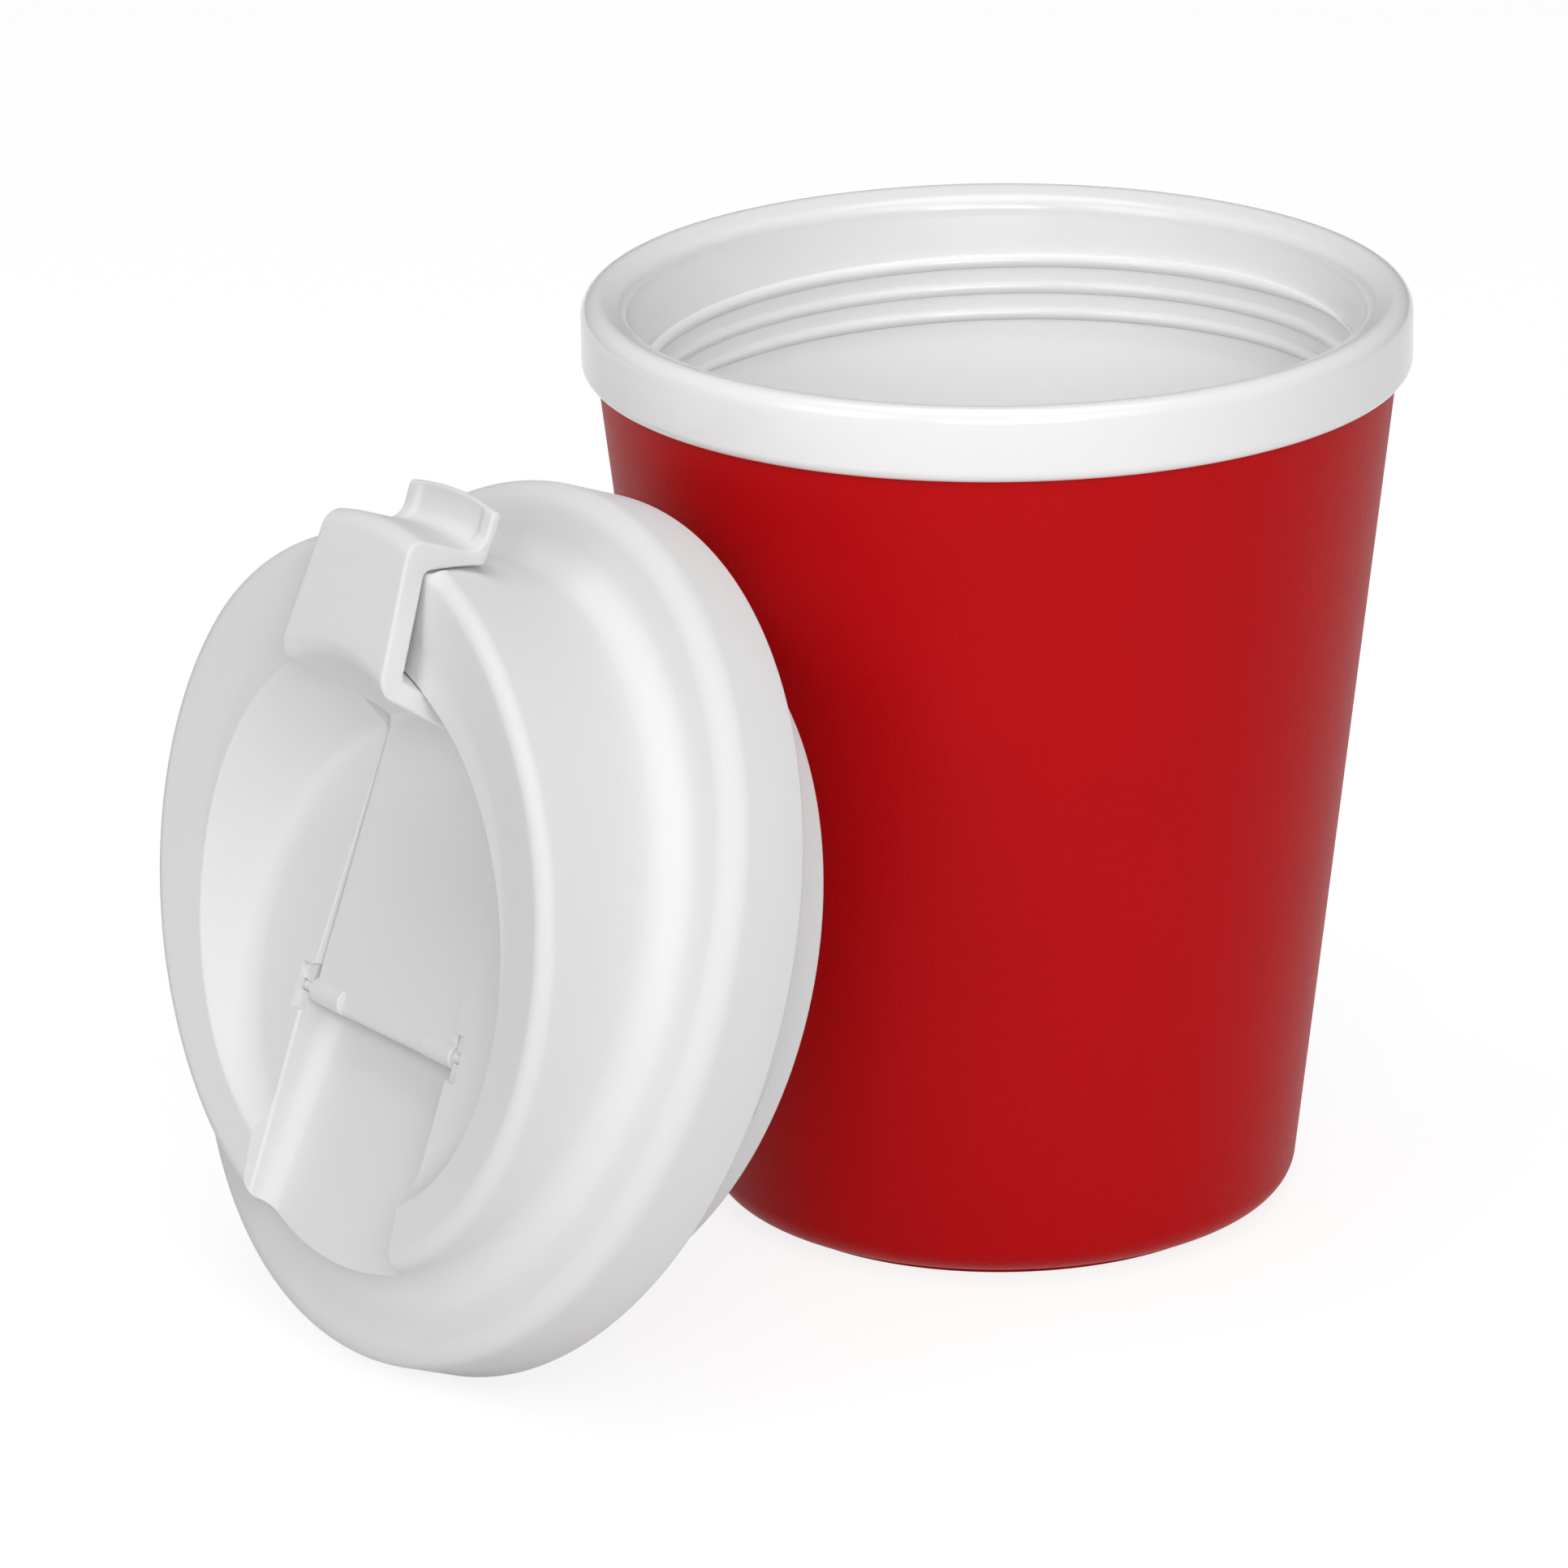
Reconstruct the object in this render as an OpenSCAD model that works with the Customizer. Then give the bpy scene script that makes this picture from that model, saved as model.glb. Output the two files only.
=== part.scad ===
// Double-walled drinking cup with its screw lid taken off and leaned against it.
// The cup stands on z = 0 with its axis on Z. Everything is in millimetres.

/* [Cup] */
// Height of the cup, from the table to the top of the rim
cup_h = 105.2; // [90:0.1:125]
// Outside radius of the rim band
rim_r = 46; // [42:0.1:52]
// Height of the white rim band that the lid's skirt covers
band_h = 8.2; // [7:0.1:10]
// Height of the sloped lower part of the rim band
band_slope_h = 3.1; // [2:0.1:4]
// How far the rim band stands out past the shell
band_step = 1.67; // [0.8:0.01:2.4]
// Radius of the rounded outer edge of the rim
lip_outer_round = 2.9; // [1.5:0.1:3.5]
// Radius of the rounded inner edge of the rim
lip_inner_round = 2; // [1:0.1:2.2]
// Radius of the plain bore in the rim, where the lid's seal sits
mouth_r = 40.8; // [38:0.1:46]
// Depth of the plain bore below the top of the rim
mouth_depth = 5.4; // [4.5:0.1:6]
// Depth below the rim at which the threaded neck starts
neck_depth = 7; // [6.5:0.1:8]
// Length of the threaded neck
neck_length = 9.2; // [7:0.1:12]
// Radius of the threaded neck between the turns of the thread
neck_r = 39.3; // [36:0.1:44]
// Height over which the neck runs into the liner's side
neck_blend_h = 3; // [2:0.5:5]

/* [Shell] */
// Radius that the shell's side would have at the table without its rounded base
shell_base_r = 32.82; // [28:0.01:36]
// Thickness of the shell
shell_wall = 1.6; // [1.2:0.1:2]
// Radius of the rounding round the base
base_round = 4.2; // [3:0.1:7]
// Height of the small foot ring
foot_h = 0.9; // [0.5:0.1:1.5]
// How far the foot ring stands in from the rounding
foot_step = 0.5; // [0.3:0.1:1]
// Width of the foot ring that touches the table
foot_w = 2.4; // [1.8:0.1:4]
// Depth of the hollow under the base
foot_hollow = 1.2; // [0.8:0.1:1.4]
// Height of the tongue on the shell's edge, inside the rim band
tongue_h = 3; // [2:0.1:4]
// Thickness of the tongue
tongue_w = 0.75; // [0.6:0.05:0.9]
// Clearance round the tongue in the rim band
tongue_clear = 0.05; // [0.03:0.01:0.1]
// Room above the tongue in the rim band
tongue_room = 0.4; // [0.2:0.1:0.8]

/* [Liner] */
// Thickness of the liner
liner_wall = 1.6; // [1.2:0.1:2]
// Air gap between the shell and the liner
air_gap = 1; // [0.8:0.1:1.5]
// Height of the liner's floor above the table
floor_z = 8; // [7:0.1:12]
// Radius of the rounding between the liner's floor and its side
floor_round = 6; // [4:0.1:9]

/* [Lid skirt and plug] */
// Thickness of the skirt
skirt_wall = 1.8; // [1.4:0.1:2.2]
// Clearance between the skirt and the rim band when the lid is on
skirt_clear = 0.74; // [0.4:0.01:1.1]
// Radius of the rounded shoulder
shoulder_round = 2.8; // [2:0.1:3.6]
// Thickness of the lid's top walls
lid_wall = 1.8; // [1.5:0.1:2.2]
// Outside radius of the plug that carries the lid's thread
plug_r = 37.9; // [34:0.1:39]
// Thickness of the plug's wall
plug_wall = 1.8; // [1.5:0.1:2.2]
// How far the plug reaches below the skirt's edge
plug_depth = 11.2; // [8:0.1:12.5]
// Depth of the seal's groove in the plug
groove_depth = 0.5; // [0.3:0.1:0.8]
// Height of the groove's lower edge above the skirt's edge
groove_z = 3; // [2.5:0.1:3.5]
// Thickness of the seal, along the lid's axis
seal_h = 3; // [2:0.1:3.4]
// Outside radius of the seal
seal_r = 40.9; // [39:0.1:45]
// Clearance between the seal and its groove
seal_clear = 0.05; // [0.03:0.01:0.1]

/* [Lid collar] */
// Outside radius of the collar
collar_r = 39.1; // [36:0.1:41]
// Radius of the fillet between the shoulder and the collar
collar_fillet = 3.8; // [2:0.1:4.5]
// Height of the collar's slanted top on the lid's axis, at its outer edge
crest_z = 24.6; // [23.6:0.01:26]
// Angle of the collar's slanted top
crest_slant = 12.3; // [9:0.1:13]
// How much lower the collar's top is at the recess than at its outer edge
crest_dip = 0.9; // [0.3:0.1:1.4]
// Height at which the slanted top levels off, on the drinking side
pad_z = 31.3; // [30.8:0.1:32]
// Radius of the collar's rounded top edges
crest_round = 1.8; // [1:0.1:2]
// Radius of the recess's rounded upper edge
recess_edge_round = 0.9; // [0.5:0.1:1.2]

/* [Lid recess] */
// Radius of the recess at its upper edge
recess_r = 30.3; // [29.5:0.1:31]
// How far the recess lies off the lid's axis, towards the hinge
recess_off = 3.5; // [2:0.1:4]
// Angle of the recess's side from upright
recess_side = 24; // [18:1:28]
// Height of the recess's floor
recess_z = 16; // [15.6:0.1:16.4]
// Radius at which the recess's floor starts to curve up
recess_floor_r = 24.5; // [22:0.1:26]
// Radius of the curve round the recess's floor
recess_floor_round = 5; // [3:0.1:6]
// How far the floor's centre lies off the lid's axis, towards the hinge
recess_floor_off = 5; // [4:0.1:6]
// Clearance between the flap's strip and the sides of its slot
strip_gap = 0.4; // [0.3:0.1:0.9]
// Clearance under the flap's strip
strip_under = 0.3; // [0.3:0.1:0.6]
// Half the width of the channel behind the hinge
channel_half = 14.6; // [14.4:0.1:16]
// Height of the channel's floor under the hinge
channel_z = 10.6; // [10.2:0.1:11.4]
// Height of the channel's floor where it leaves the collar
channel_exit_z = 13.4; // [12.8:0.1:14]
// Radius of the curve between the channel's floor and its sides
channel_round = 2.5; // [1.5:0.1:3]
// How far the channel reaches under the strip, past the hinge axis
channel_reach = 2.8; // [2.5:0.1:3.5]
// Length of the drinking opening, across the lid
drink_length = 13; // [9:0.1:16]
// Width of the drinking opening, along the lid
drink_w = 5.4; // [4.6:0.1:6]
// Distance of the drinking opening from the lid's axis
drink_u = 32.6; // [32:0.1:33]
// Radius of the vent under the flap's strip
vent_r = 1; // [0.6:0.1:1.5]

/* [Flap] */
// Distance of the hinge axis from the lid's axis
hinge_u = 12.4; // [11:0.1:13.5]
// Height of the hinge axis
hinge_z = 14.4; // [14.2:0.1:14.6]
// Radius of the hinge knuckles
knuckle_r = 1.5; // [1.3:0.1:1.7]
// Length of each knuckle
knuckle_length = 6; // [4:0.1:8]
// Radius of the trunnions
trunnion_r = 0.8; // [0.7:0.05:0.9]
// Length of each trunnion, past the strip's edge
trunnion_length = 2.2; // [1.5:0.1:3]
// Clearance round and past the trunnions
trunnion_clear = 0.06; // [0.03:0.01:0.1]
// Width of the snap-in slot over each socket
snap_w = 1.3; // [1.1:0.05:1.4]
// Thickness of the material round each socket
socket_wall = 1.8; // [1.5:0.1:2.2]
// Length of the shallow pocket over each socket, along the lid
pocket_length = 5.2; // [4:0.1:6]
// Depth of the pocket
pocket_depth = 0.7; // [0.4:0.05:0.8]
// Half the width of the strip at the hinge
strip_half = 14.25; // [13:0.05:14.3]
// Half the width of the strip at the riser's foot
strip_foot_half = 12.3; // [11:0.1:13]
// Thickness of the strip
strip_h = 2.2; // [1.8:0.1:2.4]
// Height of the strip's top over the hinge axis
strip_rise = 0.8; // [0.6:0.1:0.9]
// Slope of the strip, rising away from the hinge
strip_slope = 1.8; // [1:0.1:2.5]
// Radius of the riser's curved front at the height of the plate's top
riser_r = 25.5; // [25:0.1:26]
// Thickness of the riser
riser_w = 2.1; // [1.8:0.1:2.2]
// Lean of the riser away from the hinge
riser_lean = 10; // [8:0.1:13]
// Height of the plate's top
plate_z = 34.3; // [33.8:0.1:35]
// Half the width of the plate at the riser
plate_half = 10.35; // [9.5:0.05:11]
// Gap between the plate and the level pad of the collar
plate_gap = 0.3; // [0.2:0.1:0.6]
// Radius of the bend between the riser and the plate
bend_round = 2.2; // [1:0.1:2.4]
// Half the width of the flap at its thumb lip
lip_half = 8.4; // [7.5:0.1:9.5]
// Distance of the thumb leg's outer face from the lid's axis
leg_r = 41.1; // [40.8:0.1:42]
// Radius of the bend between the plate and the thumb leg
leg_round = 2; // [1:0.1:2.2]
// Gap between the thumb leg and the collar as the flap swings
leg_gap = 0.3; // [0.2:0.05:0.5]
// How far the collar is cut back for the thumb leg
leg_relief = 1.5; // [1.2:0.05:1.7]
// Room on each side of the thumb leg in the collar's cut
leg_room = 1.1; // [0.6:0.1:1.5]
// Distance of the thumb lip's tip from the lid's axis
lip_r = 45.7; // [45:0.1:47]
// Height of the thumb lip's upper face
lip_z = 24.9; // [24.2:0.1:26]
// Thickness of the thumb lip
lip_h = 1.2; // [1:0.1:2]
// Radius of the hollow between the thumb leg and its lip
lip_scoop = 2; // [1.5:0.1:3]
// Clearance between the bung under the plate and the drinking opening
bung_clear = 0.35; // [0.25:0.05:0.5]
// How far the bung reaches into the drinking opening
bung_depth = 1.8; // [1:0.1:2.2]

/* [Lid, as it leans] */
// Angle of the lid's axis from upright
lean = 69.33; // [60:0.01:80]
// Direction that the lid's top faces, seen from above
facing = 214.71; // [200:0.01:230]
// Turn of the lid about its own axis
turn = 91.49; // [80:0.01:100]
// Direction of the lid from the cup, seen from above
bearing = 219.52; // [210:0.01:225]
// Gap left where the plug's edge leans on the shell
lean_gap = 0.7; // [0.1:0.05:0.9]

/* [Hidden] */
$fn = 96;
arc_steps = 6;
far = 80;
red = [0.7, 0.07, 0.08];
white = [0.92, 0.92, 0.92];
seal_grey = [0.85, 0.85, 0.83];

// Points on an arc about c, from one angle to another
function arc(c, r, from, to, steps = arc_steps) =
    [for (i = [0 : steps]) let (a = from + (to - from) * i / steps)
        [c[0] + r * cos(a), c[1] + r * sin(a)]];

// Cup: the shell's side is a cone from the base to the rim band
shell_top_z = cup_h - band_h;
shell_top_r = rim_r - band_step;
side_slope = (shell_top_r - shell_base_r) / shell_top_z;
side_angle = atan(side_slope);
function shell_r(z) = shell_base_r + side_slope * z;
function inset_r(z, depth) = shell_r(z) - depth / cos(side_angle);
base_centre_z = foot_h + base_round;
base_centre_r = inset_r(base_centre_z, base_round);
foot_r = base_centre_r - foot_step;
tongue_in_r = inset_r(shell_top_z, shell_wall);
tongue_out_r = tongue_in_r + tongue_w;

// Liner: its side runs parallel to the shell's, one air gap inside it
liner_depth = shell_wall + air_gap + liner_wall;
liner_out_depth = shell_wall + air_gap;
mouth_z = cup_h - mouth_depth;
neck_top_z = cup_h - neck_depth;
neck_z = neck_top_z - neck_length;
neck_blend_z = neck_z - neck_blend_h;
lip_ceiling_z = shell_top_z + tongue_h + tongue_room;
floor_centre_z = floor_z + floor_round;
floor_centre_r = inset_r(floor_centre_z, liner_depth + floor_round);

// Lid: x runs across it, y from the hinge to the drinking side, z up its axis
skirt_in_r = rim_r + skirt_clear;
skirt_r = skirt_in_r + skirt_wall;
ceiling_z = band_h;
shoulder_z = ceiling_z + lid_wall;
plug_in_r = plug_r - plug_wall;
crest_rise = tan(crest_slant);
strip_top_z = hinge_z + strip_rise;
strip_end_u = -hinge_u - knuckle_r;
function strip_top(u) = strip_top_z + tan(strip_slope) * (u - strip_end_u);
function riser_front(z) = riser_r - (plate_z - z) * tan(riser_lean);
riser_low_z = strip_top(riser_front(hinge_z)) - strip_h / 2;
riser_foot_u = sqrt(pow(riser_front(riser_low_z), 2) - pow(strip_foot_half, 2));
plate_u = sqrt(pow(riser_r, 2) - pow(plate_half, 2));
bend_z = plate_z - bend_round;
bend_r = riser_front(bend_z) + bend_round / cos(riser_lean);
plate_under_z = pad_z + plate_gap;
lip_low_z = lip_z - lip_h;
leg_in_r = leg_r - leg_relief - collar_fillet;
leg_swing_r = norm([collar_r + hinge_u, pad_z - crest_round - hinge_z]) - leg_relief + leg_gap;
bung_w = drink_w - 4 * bung_clear;
bung_u = drink_u + bung_clear;

// Where the lid stands: its skirt on the table, its plug against the shell
function lid_dir(x, y, z) =
    let (a = [x * cos(turn) - y * sin(turn), x * sin(turn) + y * cos(turn), z])
    let (b = [a[0] * cos(lean) + a[2] * sin(lean), a[1], a[2] * cos(lean) - a[0] * sin(lean)])
    [b[0] * cos(facing) - b[1] * sin(facing), b[0] * sin(facing) + b[1] * cos(facing), b[2]];
lid_z = skirt_r * sin(lean);
function lid_point(distance, p) =
    [distance * cos(bearing), distance * sin(bearing), lid_z] + lid_dir(p[0], p[1], p[2]);
function shell_gap(p) = (norm([p[0], p[1]]) - shell_r(p[2])) * cos(side_angle);
function plug_gap(distance) =
    min([for (a = [0 : 2 : 358])
        shell_gap(lid_point(distance, [plug_r * cos(a), plug_r * sin(a), -plug_depth]))]);
function lean_distance(near, away, steps) =
    let (middle = (near + away) / 2)
    steps == 0 ? middle
    : plug_gap(middle) > lean_gap ? lean_distance(near, middle, steps - 1)
    : lean_distance(middle, away, steps - 1);
lid_distance = lean_distance(rim_r, 3 * rim_r, 24);

module outer_shell() {
    color(red) rotate_extrude() polygon(concat(
        [[0, foot_hollow], [foot_r - foot_w, foot_hollow], [foot_r - foot_w, 0], [foot_r, 0],
            [foot_r, foot_h]],
        arc([base_centre_r, base_centre_z], base_round, -90, -side_angle),
        [[shell_top_r, shell_top_z], [tongue_out_r, shell_top_z],
            [tongue_out_r, shell_top_z + tongue_h], [tongue_in_r, shell_top_z + tongue_h],
            [tongue_in_r, shell_top_z]],
        arc([base_centre_r, base_centre_z], base_round - shell_wall, -side_angle, -90),
        [[0, foot_h + shell_wall]]));
}

module inner_liner() {
    color(white) rotate_extrude() polygon(concat(
        [[0, floor_z]],
        arc([floor_centre_r, floor_centre_z], floor_round, -90, -side_angle),
        [[inset_r(neck_blend_z, liner_depth), neck_blend_z], [neck_r, neck_z],
            [neck_r, neck_top_z], [mouth_r, mouth_z]],
        arc([mouth_r + lip_inner_round, cup_h - lip_inner_round], lip_inner_round, 180, 90),
        arc([rim_r - lip_outer_round, cup_h - lip_outer_round], lip_outer_round, 90, 0),
        [[rim_r, shell_top_z + band_slope_h], [shell_top_r, shell_top_z],
            [tongue_out_r + tongue_clear, shell_top_z],
            [tongue_out_r + tongue_clear, lip_ceiling_z],
            [mouth_r + liner_wall, lip_ceiling_z],
            [mouth_r + liner_wall, mouth_z - liner_wall / 2],
            [neck_r + liner_wall, neck_top_z - liner_wall / 2],
            [neck_r + liner_wall, neck_z],
            [inset_r(neck_blend_z, liner_out_depth), neck_blend_z]],
        arc([floor_centre_r, floor_centre_z], floor_round + liner_wall, -side_angle, -90),
        [[0, floor_z - liner_wall]]));
}

// The slanted plane of the collar's top, as the level plane of a sheared space
module crest_space() {
    multmatrix([[1, 0, 0, 0], [0, 1, 0, 0], [0, crest_rise, 1, crest_z], [0, 0, 0, 1]])
        children();
}

// Everything under the collar's slanted top, with its rounded outer edge
module under_crest() {
    clear_r = collar_r + collar_fillet;
    crest_space() rotate_extrude() polygon(concat(
        [[0, -far], [clear_r, -far], [clear_r, -far / 4]],
        arc([collar_r - crest_round, -crest_round], crest_round, 10, 90),
        [[recess_r, -crest_dip], [0, -crest_dip]]));
}

// Space inside the slanted recess, down to its curved floor, grown by a wall
module recess_space(wall = 0) {
    r = recess_r + wall / cos(recess_side);
    edge = recess_edge_round;
    edge_r = r + edge * (1 - sin(recess_side)) / cos(recess_side);
    edge_z = -crest_dip - edge;
    depth = far / 4;
    top = far / 8;
    steps = wall > 0 ? 1 : arc_steps;
    intersection() {
        crest_space() translate([0, -recess_off, 0]) rotate_extrude() polygon(concat(
            [[0, top], [edge_r + top, top]],
            arc([edge_r, edge_z], edge, 98, 180 - recess_side, steps),
            [[r - depth * tan(recess_side), -depth], [0, -depth]]));
        translate([0, -recess_floor_off, recess_z - wall]) rotate_extrude() polygon(concat(
            [[0, 0]],
            arc([recess_floor_r, recess_floor_round + wall], recess_floor_round + wall,
                -90, -40, steps),
            [[far, far], [0, far]]));
    }
}

// Space over the channel that lets the flap fold back past the collar
module channel_space(wall = 0) {
    half = channel_half + wall;
    r = channel_round + wall;
    start_u = -hinge_u + channel_reach;
    fall = atan((channel_exit_z - channel_z) / (collar_r + start_u));
    steps = wall > 0 ? 1 : arc_steps;
    intersection() {
        translate([0, -collar_r, channel_exit_z]) rotate([90 - fall, 0, 0])
            linear_extrude(height = 2 * far, center = true) polygon(concat(
                [[-half, far]],
                arc([-half + r, r - wall], r, 180, 270, steps),
                arc([half - r, r - wall], r, 270, 360, steps),
                [[half, far]]));
        translate([-far, start_u + wall - 2 * far, 0]) cube([2 * far, 2 * far, far]);
    }
}

// Outline of the flap, seen along the lid's axis, grown by a gap
module flap_plan(gap = 0) {
    right = [[strip_half + gap, strip_end_u - gap], [strip_foot_half + gap, riser_foot_u],
        [plate_half + gap, plate_u], [lip_half + gap, leg_r], [lip_half + gap, far]];
    left = [for (i = [len(right) - 1 : -1 : 0]) [-right[i][0], right[i][1]]];
    linear_extrude(height = far) polygon(concat(right, left));
}

// Everything on the hinge's side of the riser's back, grown by a gap
module before_riser_back(gap = 0) {
    back = riser_w / cos(riser_lean) + gap;
    rotate_extrude() polygon([
        [0, 0], [riser_front(0) + back, 0], [riser_front(far) + back, far], [0, far]]);
}

// Slot that the flap's strip and riser lie in
module strip_space(wall = 0) {
    under = strip_h + strip_under + wall;
    start = strip_end_u - strip_gap;
    intersection() {
        flap_plan(strip_gap + wall);
        before_riser_back(strip_gap + wall);
        rotate([90, 0, 90]) linear_extrude(height = 2 * far, center = true) polygon([
            [start, strip_top(start) - under], [far, strip_top(far) - under],
            [far, far], [start, far]]);
    }
}

// A round bar along the hinge axis, from one distance off the middle to another
module hinge_bar(r, from, to) {
    translate([from, -hinge_u, hinge_z]) rotate([0, 90, 0]) cylinder(r = r, h = to - from);
}

// Blind socket for one trunnion, with its snap-in slot and the pocket over it
module socket(side) {
    start = channel_half - trunnion_r;
    reach = strip_half + trunnion_length + trunnion_clear;
    mirror([side < 0 ? 1 : 0, 0, 0]) {
        hinge_bar(trunnion_r + trunnion_clear, start, reach);
        translate([start, -hinge_u - snap_w / 2, hinge_z])
            cube([reach - start, snap_w, recess_z - hinge_z + strip_rise]);
        translate([start, -hinge_u - pocket_length / 2, recess_z - pocket_depth])
            cube([reach - start, pocket_length, pocket_depth + strip_rise]);
    }
}

// Block of material under the recess's floor that a socket is made in
module socket_block(side) {
    reach = strip_half + trunnion_length + trunnion_clear + socket_wall;
    half = trunnion_r + trunnion_clear + socket_wall;
    mirror([side < 0 ? 1 : 0, 0, 0])
        translate([channel_half, -hinge_u - half, hinge_z - half])
            cube([reach - channel_half, 2 * half, half + recess_z - hinge_z]);
}

// Long round-ended hole or bung, across the lid
module drink_shape(length, width, height) {
    for (side = [-1, 1])
        translate([side * (length - width) / 2, 0, 0]) cylinder(r = width / 2, h = height);
    translate([-(length - width) / 2, -width / 2, 0]) cube([length - width, width, height]);
}

// Outside of the lid: skirt, shoulder and collar
module lid_outside() {
    intersection() {
        rotate_extrude() polygon(concat(
            [[0, ceiling_z], [skirt_in_r, ceiling_z], [skirt_in_r, 0], [skirt_r, 0]],
            arc([skirt_r - shoulder_round, shoulder_z - shoulder_round], shoulder_round, 0, 90),
            arc([collar_r + collar_fillet, shoulder_z + collar_fillet], collar_fillet, 270, 180),
            arc([collar_r - crest_round, pad_z - crest_round], crest_round, 0, 90),
            [[0, pad_z]]));
        union() {
            under_crest();
            translate([0, 0, -far]) cylinder(r = far, h = far + shoulder_z + collar_fillet);
        }
    }
}

// Hollow under the lid, above the plug, that leaves one wall's thickness above it
module lid_hollow() {
    difference() {
        intersection() {
            cylinder(r = plug_in_r, h = pad_z - lid_wall);
            crest_space() translate([0, 0, -far - crest_dip - lid_wall]) cylinder(r = far, h = far);
        }
        recess_space(wall = lid_wall);
        channel_space(wall = lid_wall);
        strip_space(wall = lid_wall);
        socket_block(1);
        socket_block(-1);
    }
}

module lid_body_at_origin() {
    difference() {
        lid_outside();
        lid_hollow();
        recess_space();
        channel_space();
        strip_space();
        socket(1);
        socket(-1);
        translate([0, drink_u, ceiling_z]) drink_shape(drink_length, drink_w, far);
        cylinder(r = vent_r, h = far);
        leg_swing();
    }
}

// Cut at the collar's drinking side that the thumb leg swings past
module leg_swing() {
    half = lip_half + leg_room;
    difference() {
        translate([-half, 0, shoulder_z + collar_fillet]) cube([2 * half, far, far]);
        hinge_bar(leg_swing_r - leg_gap, -far, far);
    }
}

// Flat strip of the flap, from its end at the hinge to the riser's back
module flap_strip() {
    intersection() {
        rotate([90, 0, 90]) linear_extrude(height = 2 * far, center = true) polygon([
            [strip_end_u, strip_top_z], [strip_end_u, strip_top_z - strip_h],
            [far, strip_top(far) - strip_h], [far, strip_top(far)]]);
        before_riser_back();
    }
}

// Riser and plate of the flap, curved about the lid's axis
module flap_top() {
    back = riser_w / cos(riser_lean);
    rotate_extrude() polygon(concat(
        [[riser_front(riser_low_z), riser_low_z]],
        arc([bend_r, bend_z], bend_round, 180 - riser_lean, 90),
        arc([leg_r - leg_round, plate_z - leg_round], leg_round, 90, 0),
        [[leg_r, plate_under_z], [riser_front(plate_under_z) + back, plate_under_z],
            [riser_front(riser_low_z) + back, riser_low_z]]));
}

// Thumb leg and lip, hollowed so that they swing clear of the collar
module thumb_leg() {
    tip = lip_h / 2;
    top_z = plate_z - leg_round;
    difference() {
        rotate_extrude() polygon(concat(
            [[leg_in_r, top_z], [leg_r, top_z]],
            arc([leg_r + lip_scoop, lip_z + lip_scoop], lip_scoop, 180, 270),
            arc([lip_r - tip, lip_z - tip], tip, 90, -90),
            [[leg_in_r, lip_low_z]]));
        hinge_bar(leg_swing_r, -far, far);
    }
}

module flip_closure_at_origin() {
    intersection() {
        flap_plan();
        union() {
            flap_strip();
            flap_top();
            thumb_leg();
        }
    }
    hinge_bar(knuckle_r, strip_half - knuckle_length, strip_half);
    hinge_bar(knuckle_r, -strip_half, -strip_half + knuckle_length);
    hinge_bar(trunnion_r, -strip_half - trunnion_length, strip_half + trunnion_length);
    translate([0, bung_u, pad_z - bung_depth])
        drink_shape(drink_length - 2 * bung_clear, bung_w, bung_depth + 2 * plate_gap);
}

// Puts the lid where it leans
module leaned() {
    translate([lid_distance * cos(bearing), lid_distance * sin(bearing), lid_z])
        rotate([0, 0, facing]) rotate([0, lean, 0]) rotate([0, 0, turn]) children();
}

module lid_body() {
    color(white) leaned() lid_body_at_origin();
}

// Plug that carries the seal and the thread, welded up against the lid's ceiling
module lid_plug() {
    color(white) leaned() rotate_extrude() polygon([
        [plug_in_r, -plug_depth], [plug_r, -plug_depth], [plug_r, groove_z],
        [plug_r - groove_depth, groove_z], [plug_r - groove_depth, groove_z + seal_h],
        [plug_r, groove_z + seal_h], [plug_r, ceiling_z], [plug_in_r, ceiling_z]]);
}

module lid_seal() {
    inner = plug_r - groove_depth + seal_clear;
    lip = (seal_h - 2 * seal_clear) / 4;
    low = groove_z + seal_clear;
    color(seal_grey) leaned() rotate_extrude() polygon(concat(
        [[inner, low], [seal_r - lip, low]],
        arc([seal_r - lip, low + lip], lip, -90, 60),
        arc([seal_r - lip, low + 3 * lip], lip, -60, 90),
        [[inner, low + 4 * lip]]));
}

module flip_closure() {
    color(white) leaned() flip_closure_at_origin();
}

outer_shell();
inner_liner();
lid_body();
lid_plug();
lid_seal();
flip_closure();
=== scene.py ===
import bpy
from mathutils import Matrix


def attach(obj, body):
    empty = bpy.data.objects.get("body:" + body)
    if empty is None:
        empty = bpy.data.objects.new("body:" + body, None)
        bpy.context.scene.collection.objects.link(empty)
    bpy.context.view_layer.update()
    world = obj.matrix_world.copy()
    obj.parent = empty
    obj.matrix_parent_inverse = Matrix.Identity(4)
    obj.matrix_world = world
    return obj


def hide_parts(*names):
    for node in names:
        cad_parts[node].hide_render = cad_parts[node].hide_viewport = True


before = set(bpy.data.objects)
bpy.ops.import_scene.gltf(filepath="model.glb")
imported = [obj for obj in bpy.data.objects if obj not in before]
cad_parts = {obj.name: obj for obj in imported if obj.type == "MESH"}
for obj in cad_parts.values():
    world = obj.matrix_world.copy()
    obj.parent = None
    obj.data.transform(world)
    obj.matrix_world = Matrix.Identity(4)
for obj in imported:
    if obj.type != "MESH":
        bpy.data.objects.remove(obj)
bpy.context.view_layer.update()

import math

import bmesh
import bpy
import numpy as np
from mathutils import Matrix, Vector

# Outer shell of the cup. A tapered cup moulded in red plastic with a finely grained
# satin skin, a rounded base over a small foot ring and a hollow bottom. Its upper edge
# carries a thin tongue that is welded up inside the white rim.


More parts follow.
